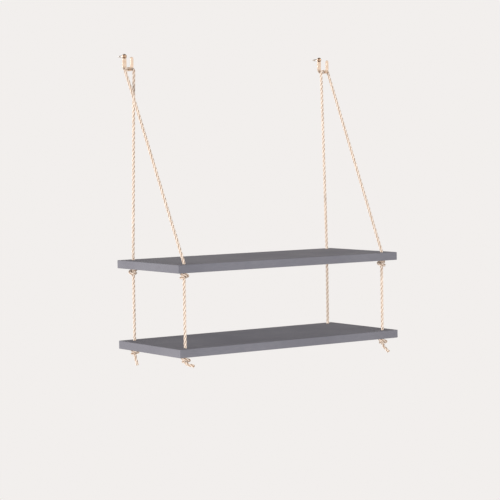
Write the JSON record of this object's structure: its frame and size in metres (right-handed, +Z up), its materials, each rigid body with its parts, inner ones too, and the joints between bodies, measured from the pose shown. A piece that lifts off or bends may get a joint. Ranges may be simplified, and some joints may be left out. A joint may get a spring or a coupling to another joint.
{
  "type": "rope wall shelf with wall hooks",
  "caption": "Slate-grey boards hung one above the other in knotted laid rope from brass J-hooks, for display on a wall.",
  "frame": {"origin": "on the wall's plane, midway between the two hooks and level with their screws", "axes": "+Z up, +Y into the wall, +X to the right as seen from the room"},
  "size_m": [0.6, 0.2757, 0.6934],
  "materials": {
    "slate_paint": "satin slate-grey paint on board",
    "rope_fibre": "three-strand laid rope of natural fibre",
    "hook_brass": "polished, rose tint",
    "screw_brass": "polished, darker"
  },
  "bodies": {
    "root": {"shelf_upper": "slate_paint", "shelf_lower": "slate_paint", "rope_left": "rope_fibre", "rope_right": "rope_fibre", "hook_left": "hook_brass", "hook_right": "hook_brass", "screw_left": "screw_brass", "screw_right": "screw_brass"}
  },
  "joints": []
}
